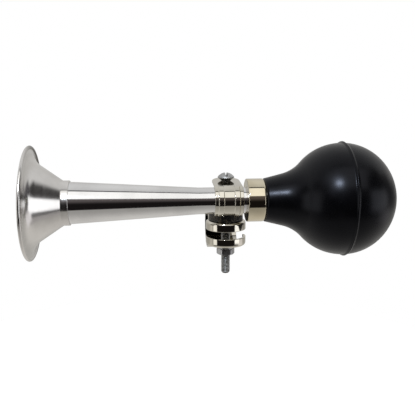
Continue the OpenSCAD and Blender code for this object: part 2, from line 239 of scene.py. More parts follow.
def combined(obj, other, operation):
    """Adds another object to this one, or cuts it out, and drops the other."""
    step = obj.modifiers.new("step", "BOOLEAN")
    step.object = other
    step.operation = operation
    step.solver = "EXACT"
    mesh = evaluated_mesh(obj)
    bm = bmesh.new()
    bm.from_mesh(mesh)
    bmesh.ops.remove_doubles(bm, verts=bm.verts, dist=CUT_WELD)
    bmesh.ops.dissolve_degenerate(bm, edges=bm.edges, dist=CUT_WELD)
    bm.to_mesh(mesh)
    bm.free()
    obj.modifiers.clear()
    obj.data = mesh
    bpy.data.objects.remove(other)


def drilled(obj, cutter):
    """Cuts one object out of another."""
    combined(obj, cutter, "DIFFERENCE")
    obj.data.shade_smooth()


def screw_hole(radius):
    """A cutter along the screw's axis, longer than the clamp is tall."""
    low, high = -BEYOND, HEAD_Z + BEYOND
    return turned("hole", [(low, 0), (low, radius), (high, radius), (high, 0)], screw_axis, segments=58)


def bevelled(obj, width, segments=2, angle=40):
    """Rounds every edge that is sharper than the angle."""
    bevel = obj.modifiers.new("edges", "BEVEL")
    bevel.width = width * MM
    bevel.segments = segments
    bevel.limit_method = "ANGLE"
    bevel.angle_limit = math.radians(angle)
    bevel.use_clamp_overlap = True
    bevel.harden_normals = True


def soft_normals(obj, angle=35):
    """Sharp only at real edges, with the large faces ruling the shading."""
    obj.data.set_sharp_from_angle(angle=math.radians(angle))
    weighted = obj.modifiers.new("normals", "WEIGHTED_NORMAL")
    weighted.keep_sharp = True
    weighted.weight = 60


def finish_piece(obj, material, body, slot, *nodes):
    """Paints a piece, sets it on its body and lets it stand for its CAD nodes."""
    obj.data.materials.clear()
    obj.data.materials.append(material)
    if body:
        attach(obj, body)
    if nodes:
        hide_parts(*nodes)


# Materials


class Nodes:
    """Shorthand for building a node tree."""

    def __init__(self, tree):
        self.tree = tree
        tree.nodes.clear()

    def add(self, kind, **settings):
        """A new node with some of its settings changed."""
        node = self.tree.nodes.new(kind)
        for key, value in settings.items():
            setattr(node, key, value)
        return node

    def link(self, a, b):
        self.tree.links.new(a, b)

    def math(self, operation, a, b=None):
        """Result of a calculation with sockets or plain numbers."""
        node = self.add("ShaderNodeMath", operation=operation)
        for socket, value in zip(node.inputs, (a, b)):
            if value is None:
                continue
            if isinstance(value, (int, float)):
                socket.default_value = value
            else:
                self.link(value, socket)
        return node.outputs[0]

    def product(self, a, b):
        return self.math("MULTIPLY", a, b)

    def reach(self, a, b):
        """Distance from an axis, by the two coordinates across it."""
        return self.math("SQRT", self.math("ADD", self.product(a, a), self.product(b, b)))

    def ramp(self, value, low, high, out_low=0.0, out_high=1.0):
        """Smooth step from one output to the other while the value goes from low to high."""
        node = self.add("ShaderNodeMapRange", interpolation_type="SMOOTHSTEP")
        self.link(value, node.inputs[0])
        for socket, number in zip(node.inputs[1:5], (low, high, out_low, out_high)):
            socket.default_value = number
        return node.outputs[0]

    def ramp_mm(self, value, low, high, out_low=0.0, out_high=1.0):
        """Smooth step over a stretch that is given in millimetres."""
        return self.ramp(value, low * MM, high * MM, out_low, out_high)

    def noise(self, scale, detail, roughness=0.55, stretch=(1, 1, 1)):
        """Noise in the part's own frame, stretched along the axes."""
        coords = self.add("ShaderNodeTexCoord")
        mapping = self.add("ShaderNodeMapping")
        mapping.inputs["Scale"].default_value = stretch
        noise = self.add("ShaderNodeTexNoise")
        noise.inputs["Scale"].default_value = scale
        noise.inputs["Detail"].default_value = detail
        noise.inputs["Roughness"].default_value = roughness
        self.link(coords.outputs["Object"], mapping.inputs[0])
        self.link(mapping.outputs[0], noise.inputs["Vector"])
        return noise.outputs[0]

    def place(self, output="Object"):
        """The three coordinates of a place on the piece in the part's own frame, or of another output."""
        coords = self.add("ShaderNodeTexCoord")
        split = self.add("ShaderNodeSeparateXYZ")
        self.link(coords.outputs[output], split.inputs[0])
        return split.outputs

    def mix(self, factor, a, b):
        """Blend of two colours, given as sockets or tuples."""
        node = self.add("ShaderNodeMix", data_type="RGBA")
        sockets = (node.inputs[0], node.inputs[6], node.inputs[7])
        for socket, value in zip(sockets, (factor, a, b)):
            if isinstance(value, (int, float)):
                socket.default_value = value
            elif isinstance(value, tuple):
                socket.default_value = (*value, 1)
            else:
                self.link(value, socket)
        return node.outputs[2]

    def bump(self, height, strength, distance):
        """Normals that follow a height."""
        node = self.add("ShaderNodeBump")
        node.inputs["Strength"].default_value = strength
        node.inputs["Distance"].default_value = distance
        self.link(height, node.inputs["Height"])
        return node.outputs[0]


def surface(name, metallic):
    """A new material with a Principled shader."""
    material = bpy.data.materials.new(name)
    material.use_nodes = True
    nodes = Nodes(material.node_tree)
    shader = nodes.add("ShaderNodeBsdfPrincipled")
    output = nodes.add("ShaderNodeOutputMaterial")
    nodes.link(shader.outputs[0], output.inputs[0])
    shader.inputs["Metallic"].default_value = metallic
    return material, nodes, shader


# Dark colour that the masks below lay on the metal as painted shade
PAINTED_SHADE = (0.040, 0.033, 0.025)


def plated(name, light, dark, rough, grain, grain_depth, spots, shade_mask=None):
    """Plated metal: slow tarnish in colour and gloss, fine polishing lines, painted shade where it is asked
    for.
    """
    material, nodes, shader = surface(name, 1.0)
    tarnish = nodes.noise(scale=spots, detail=5.0)
    lines = nodes.noise(scale=1.0, detail=3.0, roughness=0.6, stretch=grain)
    colour = nodes.mix(nodes.ramp(tarnish, 0.35, 0.7), light, dark)
    if shade_mask:
        colour = nodes.mix(shade_mask(nodes), colour, PAINTED_SHADE)
    nodes.link(colour, shader.inputs["Base Color"])
    worn = nodes.ramp(tarnish, 0.3, 0.75, 0.0, rough * 0.35)
    scuffed = nodes.ramp(lines, 0.3, 0.7, rough * 0.85, rough * 1.2)
    nodes.link(nodes.math("ADD", worn, scuffed), shader.inputs["Roughness"])
    nodes.link(nodes.bump(lines, strength=0.25, distance=grain_depth), shader.inputs["Normal"])
    return material


def loop_painted_shade(nodes):
    """Painted shade and dark reflection on the inside of the handlebar loop, weaker towards its bulb end."""
    strong, weaker = 0.75, 0.3
    skin, unshaded = BAR_R + 0.15, BAR_R + 0.45
    fade_start, fade_end = 1, 6
    x, y, z = nodes.place()
    inside = nodes.ramp_mm(nodes.reach(y, z), skin, unshaded, strong, 0.0)
    return nodes.product(inside, nodes.ramp_mm(x, fade_start, fade_end, 1.0, weaker))


def rim_painted_shade(nodes):
    """Painted shade: a dark line where the rolled bead leaves the flare, strongest on the far side."""
    strong, weaker = 0.85, 0.2
    flare, fold = RIM_R - 1.25, RIM_R - 0.85
    bead_front, bead_back = RIM_X - 0.1, RIM_X + 0.35
    near_side, far_side = -8, 3
    x, y, z = nodes.place()
    y = nodes.math("SUBTRACT", y, HORN_Y * MM)
    z = nodes.math("SUBTRACT", z, HORN_Z * MM)
    outward = nodes.ramp_mm(nodes.reach(y, z), flare, fold, 0.0, strong)
    behind = nodes.ramp_mm(x, bead_front, bead_back)
    across = nodes.ramp_mm(y, near_side, far_side, weaker, 1.0)
    return nodes.product(nodes.product(outward, behind), across)


def screw_painted_shade(nodes):
    """Painted shade in the thread's valleys and under the head."""
    strong = 0.85
    deep, crest = SCREW_R - 0.3, SCREW_R - 0.08
    cone_top = HEAD_Z + HEAD_CONE
    x, y, z = nodes.place()
    y = nodes.math("SUBTRACT", y, SCREW_Y * MM)
    valley = nodes.ramp_mm(nodes.reach(x, y), deep, crest, strong, 0.0)
    valley = nodes.product(valley, nodes.ramp_mm(z, HEAD_Z, HEAD_Z + 1, 1.0, 0.0))
    below = nodes.ramp_mm(z, cone_top - 0.5, cone_top, strong, 0.0)
    neck = nodes.product(below, nodes.ramp_mm(z, HEAD_Z - 2, HEAD_Z - 1))
    return nodes.math("MAXIMUM", valley, neck)


satin_nickel = plated(
    "satin_nickel",
    light=(0.64, 0.635, 0.63),
    dark=(0.57, 0.565, 0.56),
    rough=0.075,
    grain=(1800, 50, 50),
    grain_depth=2.5e-6,
    spots=60,
)
bell_nickel = plated(
    "bell_nickel",
    light=(0.62, 0.605, 0.585),
    dark=(0.53, 0.515, 0.495),
    rough=0.16,
    grain=(2400, 80, 80),
    grain_depth=4e-6,
    spots=50,
    shade_mask=rim_painted_shade,
)
strap_nickel = plated(
    "strap_nickel",
    light=(0.56, 0.535, 0.47),
    dark=(0.50, 0.475, 0.41),
    rough=0.055,
    grain=(700, 700, 700),
    grain_depth=5e-6,
    spots=110,
)
loop_nickel = plated(
    "loop_nickel",
    light=(0.58, 0.55, 0.48),
    dark=(0.51, 0.485, 0.42),
    rough=0.055,
    grain=(700, 700, 700),
    grain_depth=5e-6,
    spots=110,
    shade_mask=loop_painted_shade,
)
warm_nickel = plated(
    "warm_nickel",
    light=(0.58, 0.525, 0.40),
    dark=(0.52, 0.465, 0.345),
    rough=0.05,
    grain=(900, 500, 500),
    grain_depth=4e-6,
    spots=110,
)
zinc_steel = plated(
    "zinc_steel",
    light=(0.50, 0.50, 0.505),
    dark=(0.36, 0.36, 0.37),
    rough=0.27,
    grain=(900, 900, 900),
    grain_depth=1.2e-5,
    spots=260,
)
screw_steel = plated(
    "screw_steel",
    light=(0.43, 0.43, 0.42),
    dark=(0.31, 0.31, 0.305),
    rough=0.36,
    grain=(900, 900, 900),
    grain_depth=1.2e-5,
    spots=260,
    shade_mask=screw_painted_shade,
)
brass = plated(
    "brass",
    light=(0.80, 0.60, 0.27),
    dark=(0.66, 0.47, 0.19),
    rough=0.2,
    grain=(1500, 300, 300),
    grain_depth=6e-6,
    spots=140,
)


def black_rubber():
    """Moulded black rubber: satin, with faint bloom, a fine moulded grain and dusty specks."""
    material, nodes, shader = surface("black_rubber", 0.0)
    bloom = nodes.noise(scale=38, detail=5.0, roughness=0.6)
    grain = nodes.noise(scale=2600, detail=2.0, roughness=0.5)
    ripples = nodes.noise(scale=120, detail=3.0, roughness=0.5)
    specks = nodes.noise(scale=1500, detail=1.0, roughness=0.4)
    deep, bloomed, dusty = (0.0007, 0.0007, 0.0010), (0.0020, 0.0019, 0.0021), (0.012, 0.0115, 0.011)
    colour = nodes.mix(nodes.ramp(bloom, 0.35, 0.75), deep, bloomed)
    dust = nodes.ramp(specks, 0.72, 0.8, 0.0, 0.5)
    nodes.link(nodes.mix(dust, colour, dusty), shader.inputs["Base Color"])
    satin = nodes.ramp(bloom, 0.3, 0.75, 0.23, 0.29)
    duller = nodes.ramp(ripples, 0.3, 0.7, 0.0, 0.06)
    nodes.link(nodes.math("ADD", satin, duller), shader.inputs["Roughness"])
    height = nodes.math("ADD", nodes.product(grain, 0.35), ripples)
    nodes.link(nodes.bump(height, strength=0.28, distance=6e-5), shader.inputs["Normal"])
    shader.inputs["Specular IOR Level"].default_value = 0.14
    shader.inputs["Specular Tint"].default_value = (0.86, 0.88, 1.0, 1.0)
    return material


def painted_shade_rubber():
    """The pad's rubber: black, which stands in for the shade under the horn's strap, with brown specks
    painted as glints.
    """
    material, nodes, shader = surface("painted_shade_rubber", 0.0)
    specks = nodes.ramp(nodes.noise(scale=900, detail=3.0, roughness=0.6), 0.50, 0.62)
    black, brown = (0.004, 0.0035, 0.003), (0.085, 0.062, 0.036)
    nodes.link(nodes.mix(specks, black, brown), shader.inputs["Base Color"])
    shader.inputs["Roughness"].default_value = 0.45
    nodes.link(nodes.bump(specks, strength=0.4, distance=8e-5), shader.inputs["Normal"])
    return material


# Bell and tube


def bell_outline():
    """Section of the bell: socket, outer skin up to the rim, rolled bead, inner skin back."""
    socket = SOCKET_IN + SHEET
    cone_x = SOCKET_START - CONE_LEN
    cone_r = socket + CONE_LEN * math.tan(FLARE_ANGLE)
    centre = (cone_x + FLARE_R * math.sin(FLARE_ANGLE), cone_r + FLARE_R * math.cos(FLARE_ANGLE))
    middle = FLARE_R + SHEET / 2
    rim = math.acos((centre[1] - RIM_R) / middle)
    bead = (centre[0] - middle * math.sin(rim), RIM_R)
    first, last = -math.pi / 2 - FLARE_ANGLE, -math.pi / 2 - rim

    def clear_of_bead(points):
        return [p for p in points if math.dist(p, bead) > BEAD_R * BEAD_CLEAR]

    outer = clear_of_bead(arc(centre, FLARE_R, first, last, FLARE_STEPS))
    inner = clear_of_bead(arc(centre, FLARE_R + SHEET, first, last, FLARE_STEPS))
    start = math.atan2(outer[-1][1] - bead[1], outer[-1][0] - bead[0])
    end = math.atan2(inner[-1][1] - bead[1], inner[-1][0] - bead[0])
    if end <= start:
        end += 2 * math.pi
    roll = arc(bead, BEAD_R, start, end, BEAD_STEPS)[1:-1]
    lip = rounded(
        [
            (SOCKET_STRAIGHT, SOCKET_IN, 0),
            (SOCKET_END, SOCKET_IN, SOCKET_EDGE_IN),
            (SOCKET_END, socket, SOCKET_EDGE_OUT),
            (SOCKET_STRAIGHT, socket, 0),
        ]
    )
    cone_in = (cone_x, cone_r - SHEET)
    bend = corner((SOCKET_STRAIGHT, socket), (SOCKET_START, socket), (cone_x, cone_r), SOCKET_BEND)
    fold = corner(cone_in, (SOCKET_START, SOCKET_IN), (SOCKET_STRAIGHT, SOCKET_IN), SOCKET_BEND)
    return lip + bend + outer + roll + inner[::-1] + fold


def crooked(along, radius, angle):
    """The rim's lower and nearer sides lie a little further forward, as in the photograph."""
    share = min(1.0, max(0.0, (SOCKET_START - along) / LEAN_LEN))
    return along + share * radius * (LEAN_Z * math.sin(angle) + LEAN_Y * math.cos(angle)), radius


def bell():
    """Spun bell: socket, cone, flare and rolled rim."""
    piece = turned("bell_skin", bell_outline(), horn_axis, segments=192, shape=crooked)
    soft_normals(piece)
    finish_piece(piece, bell_nickel, "horn", "satin_nickel", "bell")


def horn_tube():
    """Tapered sheet tube with a straight seat at the rear."""
    outside = [
        (TUBE_START, TUBE_FRONT_R, TUBE_EDGE),
        (TUBE_CONE, TUBE_FRONT_R, TUBE_FRONT_BEND),
        (TUBE_SEAT, TUBE_SEAT_R, TUBE_SEAT_BEND),
        (TUBE_END, TUBE_SEAT_R, TUBE_EDGE),
    ]
    inside = [(along, radius - SHEET, fillet) for along, radius, fillet in reversed(outside)]
    piece = turned("horn_tube_skin", rounded(outside + inside), horn_axis, segments=160)
    soft_normals(piece)
    finish_piece(piece, satin_nickel, "horn", "satin_nickel", "horn_tube")


bell()
horn_tube()

# Clamp


def rib_height(across):
    """Height of the two pressed ribs at a place across the strap."""
    off = abs(abs(across) - RIB_X)
    if off >= RIB_HALF:
        return 0.0
    flat = RIB_HALF * RIB_FLAT
    return RIB_H * 0.5 * (1 + math.cos(math.pi * max(0.0, off - flat) / (RIB_HALF - flat)))


def strap_stations():
    """Stops from the upper leg round the tube to the lower leg: (point, normal, half width, rib's share)."""
    leg = arc((LEG_END - LEG_CORNER, STRAP_HALF - LEG_CORNER), LEG_CORNER, 0, math.pi / 2, steps=10)[1:]
    leg += [(away, STRAP_HALF) for away in LEG_STOPS]
    along = Vector((math.cos(LEG_RISE), math.sin(LEG_RISE)))
    normal = Vector((-math.sin(LEG_RISE), math.cos(LEG_RISE)))
    stops = []
    for away, half in leg:
        point = normal * STRAP_OUT + along * ((away - normal.x * STRAP_OUT) / along.x)
        stops.append((point, normal, half, 0.0))
    first, last = math.pi / 2 + LEG_RISE, 1.5 * math.pi
    for k in range(STRAP_STEPS + 1):
        angle = first + (last - first) * k / STRAP_STEPS
        out = Vector((math.cos(angle), math.sin(angle)))
        fade = min(1.0, max(0.0, (-out.x * STRAP_OUT - RIB_STOP) / RIB_FADE))
        stops.append((out * STRAP_OUT, out, STRAP_HALF, fade * fade * (3 - 2 * fade)))
    down = Vector((0, -1))
    stops += [(Vector((away, -STRAP_OUT)), down, half, 0.0) for away, half in reversed(leg)]
    return stops


def strap_columns():
    """Places across the ribbed strap, close together on the ribs' slopes and at the rounded edges."""
    slope = [RIB_HALF * (RIB_FLAT + (1 - RIB_FLAT) * k / RIB_STEPS) for k in range(RIB_STEPS + 1)]
    ribs = [RIB_X - v for v in reversed(slope)] + [RIB_X] + [RIB_X + v for v in slope]
    side = []
    for k in range(EDGE_STEPS + 1):
        side.append(STRAP_HALF - STRAP_EDGE * (1 - math.sin(math.pi / 2 * k / EDGE_STEPS)))
    between, beside = 1.5, 6.6
    right = [0.0, between] + ribs + [beside] + side
    return [-v for v in reversed(right[1:])] + right


def horn_strap():
    """Ribbed strip bent to a U round the tube, with rounded legs that are drilled for the screw."""
    columns = strap_columns()
    loops = []
    for point, normal, half, rib in strap_stations():
        outer, inner = [], []
        for v in columns:
            past = max(0.0, abs(v) - STRAP_HALF + STRAP_EDGE)
            drop = STRAP_EDGE - math.sqrt(STRAP_EDGE ** 2 - past ** 2)
            p = point + normal * (rib * rib_height(v) - drop)
            q = point - normal * (STRAP_T - drop)
            x = v * half / STRAP_HALF
            outer.append((x, HORN_Y + p.x, HORN_Z + p.y))
            inner.append((x, HORN_Y + q.x, HORN_Z + q.y))
        loops.append(outer + inner[::-1])
    strap = lofted("horn_strap_skin", loops, False)
    drilled(strap, screw_hole(HOLE_R))
    soft_normals(strap)
    finish_piece(strap, strap_nickel, "horn", "bright_nickel", "horn_strap")


def loop_line(offset):
    """The handlebar loop seen along the bar, offset from the strip's middle: (y, z) from ear to ear."""
    middle = BAR_R + STRAP_T / 2
    flat_z = EAR_Z - STRAP_T / 2
    turn_z = flat_z + TURN_R
    turn_y = math.sqrt((middle + TURN_R) ** 2 - turn_z ** 2)
    lean = math.atan2(turn_z, turn_y)
    upper = [(SCREW_Y, flat_z + offset)]
    upper += arc((-turn_y, turn_z), TURN_R - offset, -math.pi / 2, -lean, steps=8)
    round_bar = arc((0, 0), middle + offset, math.pi - lean, lean - math.pi, steps=96)[1:-1]
    return upper + round_bar + [(y, -z) for y, z in reversed(upper)]


def ear(side):
    """Dished round ear, its lip turned towards the other ear; side is 1 above and -1 below."""
    corners = [
        (EAR_Z - STRAP_T, 0, 0),
        (EAR_Z - STRAP_T, EAR_R - STRAP_T, EAR_BEND_IN),
        (EAR_Z - LIP_H, EAR_R - STRAP_T, LIP_EDGE),
        (EAR_Z - LIP_H, EAR_R, LIP_EDGE),
        (EAR_Z, EAR_R, EAR_BEND),
        (EAR_Z, 0, 0),
    ]
    piece = turned("ear", [(side * z, r) for z, r in rounded(corners, steps=6)], screw_axis, segments=144)
    back = SCREW_Y + LIP_END
    drilled(piece, box("back", (-BEYOND, back, -BEYOND), (BEYOND, back + BEYOND, BEYOND)))
    return piece


def handlebar_strap():
    """Strip bent to a loop round the bar, with two dished ears that are drilled for the screw."""
    half = STRAP_T / 2 - LOOP_THIN
    edge = []
    for angle in EDGE_ANGLES:
        x = -BAR_HALF + STRAP_EDGE * (1 - math.sin(angle))
        edge.append((x, half - STRAP_EDGE * (1 - math.cos(angle))))
    stations = edge + [(-x, h) for x, h in reversed(edge)]
    loops = [[(x, y, z) for y, z in loop_line(h) + loop_line(-h)[::-1]] for x, h in stations]
    strap = lofted("handlebar_strap_skin", loops, False)
    for side in (1, -1):
        combined(strap, ear(side), "UNION")
    drilled(strap, screw_hole(HOLE_R))
    soft_normals(strap, angle=30)
    finish_piece(strap, loop_nickel, "bar_clamp", "bright_nickel", "handlebar_strap")


horn_strap()
handlebar_strap()

# Screw and what sits on it


def thread(top):
    """Rolled thread from the screw's tip up to a height, closed at both ends."""
    around, per = THREAD_AROUND, THREAD_ROWS
    levels = (MINOR_R, MINOR_R, FLANK_R, CREST_R, SCREW_R, SCREW_R, CREST_R, FLANK_R)
    rows = int((top - TIP_Z) / PITCH * per) + 2 * per
    verts, faces = [], []
    for i in range(around):
        angle = 2 * math.pi * i / around
        for j in range(rows + 1):
            z = TIP_Z - PITCH + PITCH * j / per + PITCH * i / around
            r = levels[j % per]
            if z <= TIP_Z:
                z, r = TIP_Z, TIP_R
            elif z >= top:
                z, r = top, THREAD_TOP_R
            r = min(r, TIP_R + (z - TIP_Z) * TIP_SLOPE)
            verts.append(screw_axis(z, r, angle))
    count = rows + 1
    for i in range(around):
        n = (i + 1) % around
        shift = per if n == 0 else 0
        for j in range(rows - shift):
            here, there = i * count + j, n * count + j + shift
            faces.append((here, here + 1, there + 1, there))
    obj = make("clamp_screw_skin", verts, faces)
    bm = bmesh.new()
    bm.from_mesh(obj.data)
    bmesh.ops.holes_fill(bm, edges=[e for e in bm.edges if e.is_boundary], sides=0)
    bmesh.ops.recalc_face_normals(bm, faces=bm.faces)
    bm.to_mesh(obj.data)
    bm.free()
    return obj


def screw_head(bottom):
    """Raised countersunk head with a driving slot, on a plain shank that starts at the bottom height."""
    dome_r = (HEAD_R ** 2 + HEAD_DOME ** 2) / (2 * HEAD_DOME)
    rim = HEAD_Z + HEAD_RIM
    peak = rim + HEAD_DOME
    outline = [
        (bottom, 0.0),
        (bottom, SHANK_R),
        (HEAD_Z, SHANK_R),
        (HEAD_Z + HEAD_CONE, HEAD_R - HEAD_EDGE),
        (HEAD_Z + HEAD_CONE + HEAD_EDGE_LOW, HEAD_R),
        (rim - HEAD_EDGE, HEAD_R),
    ]
    edge = math.asin(HEAD_R / dome_r) * DOME_SHARE
    outline += arc((peak - dome_r, 0), dome_r, edge, 0, steps=14)
    head = turned("screw_head", outline, screw_axis, segments=72)
    half = SLOT_W / 2
    low, high = (-half, SCREW_Y - BEYOND, peak - SLOT_DEPTH), (half, SCREW_Y + BEYOND, peak + BEYOND)
    drilled(head, box("slot", low, high))
    bevelled(head, SLOT_EDGE)
    return head


def clamp_screw():
    """Screw in one mesh: rolled thread, plain shank and slotted head."""
    top = TIP_Z + THREAD_LEN
    screw = thread(top)
    head = screw_head(top - SHANK_LAP)
    mesh = evaluated_mesh(head)
    bpy.data.objects.remove(head)
    bm = bmesh.new()
    bm.from_mesh(screw.data)
    bm.from_mesh(mesh)
    bm.to_mesh(screw.data)
    bm.free()
    screw.data.shade_smooth()
    soft_normals(screw, angle=38)
    finish_piece(screw, screw_steel, "bar_clamp", "zinc_steel", "clamp_screw")


def flat_washer():
    """Plain ring with rounded edges."""
    low, high = WASHER_TOP - WASHER_T, WASHER_TOP
    places = ((low, HOLE_R), (high, HOLE_R), (high, WASHER_R), (low, WASHER_R))
    section = rounded([(z, r, WASHER_EDGE) for z, r in places], steps=3)
    piece = turned("flat_washer_skin", section, screw_axis, segments=96)
    soft_normals(piece)
    finish_piece(piece, zinc_steel, "washers", "zinc_steel", "flat_washer")


def swivel_pad():
    """Black rubber pad between the straps, cut straight in front of the loop; its black stands in for the
    shade under the horn's strap.
    """
    low, high = EAR_Z + SEAT_GAP, EAR_Z + PAD_T - SEAT_GAP
    end = math.asin(PAD_BACK / PAD_R)
    plan = arc((0, SCREW_Y), PAD_R, math.pi - end, 2 * math.pi + end, steps=96)
    pad = lofted("swivel_pad_skin", [[(x, y, z) for x, y in plan] for z in (low, high)], False)
    drilled(pad, screw_hole(SNUG_R))
    bevelled(pad, PAD_EDGE, segments=3)
    finish_piece(pad, painted_shade_rubber(), "bar_clamp", "black_rubber", "swivel_pad")


def spring_washer():
    """Split ring of square wire."""
    low, high = SPRING_TOP - SPRING_T, SPRING_TOP
    corners = [
        (low, HOLE_R, SPRING_EDGE_IN),
        (high, HOLE_R, SPRING_EDGE_IN),
        (high, SPRING_R, SPRING_EDGE_OUT),
        (low, SPRING_R, SPRING_EDGE_OUT),
    ]
    section = rounded(corners, steps=3)
    steps = 90
    loops = []
    for s in range(steps + 1):
        angle = SPRING_SPLIT + (2 * math.pi - 2 * SPRING_SPLIT) * s / steps
        loops.append([screw_axis(a, r, angle) for a, r in section])
    piece = lofted("spring_washer_skin", loops, False)
    soft_normals(piece)
    finish_piece(piece, zinc_steel, "washers", "zinc_steel", "spring_washer")


def hex_nut():
    """Hexagon nut, chamfered on both faces, with a countersunk bore."""
    crown = NUT_HALF * NUT_CROWN
    blunt = NUT_HALF / math.cos(math.pi / 6) - NUT_BLUNT
    low = NUT_TOP - NUT_H
    steps = 96
    loops = []
    for s in range(steps):
        angle = 2 * math.pi * s / steps
        side = angle % (math.pi / 3) - math.pi / 6
        out = min(NUT_HALF / math.cos(side), blunt)
        drop = max(0.0, out - crown) * math.tan(NUT_CHAMFER) + NUT_LIFT
        lower = [
            (low + NUT_SINK, SNUG_R),
            (low, SNUG_R + NUT_SINK),
            (low, crown - NUT_EDGE),
            (low + NUT_ROUND, crown),
            (low + drop, out - NUT_ROUND),
            (low + drop + NUT_EDGE, out),
        ]
        upper = [(low + NUT_TOP - z, r) for z, r in reversed(lower)]
        loops.append([screw_axis(z, r, angle) for z, r in lower + upper])
    piece = lofted("hex_nut_skin", loops, True)
    soft_normals(piece, angle=24)
    finish_piece(piece, zinc_steel, "nut", "zinc_steel", "hex_nut")


clamp_screw()
flat_washer()
swivel_pad()
spring_washer()
hex_nut()

# Ferrule and reed


def bulb_ferrule():
    """Bright collar with a front wall round the tube and a rear end that is tucked in over the rubber."""
    bore, inside = TUBE_SEAT_R + PRESS_GAP, FERRULE_R - FERRULE_T
    corners = [
        (FERRULE_START, bore, FERRULE_EDGE),
        (FERRULE_START, FERRULE_R, FERRULE_ROUND),
        (FERRULE_END - TUCK_LEN, FERRULE_R, TUCK_BEND),
        (FERRULE_END, FERRULE_R - TUCK_IN, TUCK_EDGE),
        (FERRULE_END, inside, TUCK_EDGE_IN),
        (TUBE_END, inside, FERRULE_BEND_IN),
        (TUBE_END, bore, FERRULE_EDGE),
    ]
    piece = turned("bulb_ferrule_skin", rounded(corners, steps=6), horn_axis, segments=160)
    soft_normals(piece)
    finish_piece(piece, warm_nickel, "horn", "bright_nickel", "bulb_ferrule")


def reed():
    """The reed's four pieces are shown by their CAD nodes, in brass."""
    for node in ("reed_socket", "reed_shallot", "reed_tongue", "reed_wedge"):
        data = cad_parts[node].data
        data.materials.clear()
        data.materials.append(brass)


bulb_ferrule()
reed()

# Rubber bulb


def bulb_profile():
    """Outer line of the bulb from the ferrule to the far pole, as (along, radius)."""
    slope = math.tan(NECK_ANGLE)
    centre_r = BULB_R - SHOULDER_R
    # The fillet's centre keeps the fillet's radius from the neck's cone and from the front half's arc
    base = NECK_R - slope * FERRULE_END + NECK_FILLET / math.cos(NECK_ANGLE)
    rise = base - centre_r
    square = 1 + slope * slope
    linear = 2 * (rise * slope - BULB_X)
    constant = BULB_X ** 2 + rise ** 2 - (SHOULDER_R + NECK_FILLET) ** 2
    fillet_x = (-linear - math.sqrt(linear * linear - 4 * square * constant)) / (2 * square)
    fillet_r = base + slope * fillet_x
    cone_end = fillet_x + NECK_FILLET * math.sin(NECK_ANGLE)
    share = SHOULDER_R / (SHOULDER_R + NECK_FILLET)
    ball_x, ball_r = BULB_X + (fillet_x - BULB_X) * share, centre_r + (fillet_r - centre_r) * share
    points = []
    cone_steps = 9
    for k in range(cone_steps):
        x = FERRULE_END + NECK_GAP + (cone_end - FERRULE_END) * k / cone_steps
        points.append((x, NECK_R + slope * (x - FERRULE_END)))
    first = math.atan2(NECK_R + slope * (cone_end - FERRULE_END) - fillet_r, cone_end - fillet_x)
    last = math.atan2(ball_r - fillet_r, ball_x - fillet_x)
    points += arc((fillet_x, fillet_r), NECK_FILLET, first, last, steps=12)[:-1]
    # Degrees from the far pole, in fine steps near the seam
    step, seam_step, seam_near = 1.5, 0.3, 6
    turn = [math.degrees(math.atan2(ball_r - centre_r, ball_x - BULB_X))]
    while turn[-1] > step:
        turn.append(turn[-1] - (seam_step if abs(turn[-1] - 90) < seam_near else step))
    for degrees in turn + [0.0]:
        r, height, reach = (SHOULDER_R, centre_r, 1.0) if degrees > 90 else (BULB_R, 0.0, BULB_REAR)
        angle = math.radians(degrees)
        points.append((BULB_X + r * reach * math.cos(angle), height + r * math.sin(angle)))
    return points


def bulb_hollow():
    """Inner line of the bulb from the far pole to the neck's bore, as (along, radius)."""
    rear = arc((0, 0), BULB_R - BULB_WALL, 0, math.pi / 2, steps=30)
    centre_r, inside = BULB_R - SHOULDER_R, SHOULDER_R - BULB_WALL
    bore = NIPPLE_R + PRESS_GAP
    last = math.pi - math.asin((bore - centre_r) / inside)
    front = arc((BULB_X, centre_r), inside, math.pi / 2, last, steps=30)[1:]
    return [(BULB_X + x * BULB_REAR, r) for x, r in rear] + front + [(FLANGE_END + FLANGE_GAP, bore)]


def waves(table, angle):
    """Sum of the table's waves at an angle round the bulb."""
    return sum(size * math.sin(number * angle + start) for size, number, start in table)


def seam(along, angle):
    """Height of the moulding seam: a thin, slightly uneven flash round the bulb's widest place."""
    off = (along - BULB_X - waves(SEAM_WANDER, angle)) / SEAM_W
    if abs(off) >= SEAM_REACH:
        return 0.0
    return SEAM_H * (1 + waves(SEAM_UNEVEN, angle)) * math.exp(-off * off)


def bulb():
    """Hollow rubber bulb in one skin."""
    neck_r = FERRULE_R - FERRULE_T - NECK_GAP
    neck = [
        (FLANGE_END + FLANGE_GAP, neck_r),
        (FERRULE_END - NECK_STEP_X, neck_r),
        (FERRULE_END + NECK_GAP, NECK_R - NECK_STEP_R),
    ]

    def with_seam(along, radius, angle):
        outside = radius > BULB_R - BULB_WALL / 2
        return along, (radius + seam(along, angle) if outside else radius)

    outline = neck + bulb_profile() + bulb_hollow()
    skin = turned("rubber_bulb", outline, horn_axis, segments=192, shape=with_seam)
    finish_piece(skin, black_rubber(), None, "black_rubber", "bulb_neck_half", "bulb_dome_half")
    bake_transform(skin)


bulb()

# Floor, world, lamp and camera


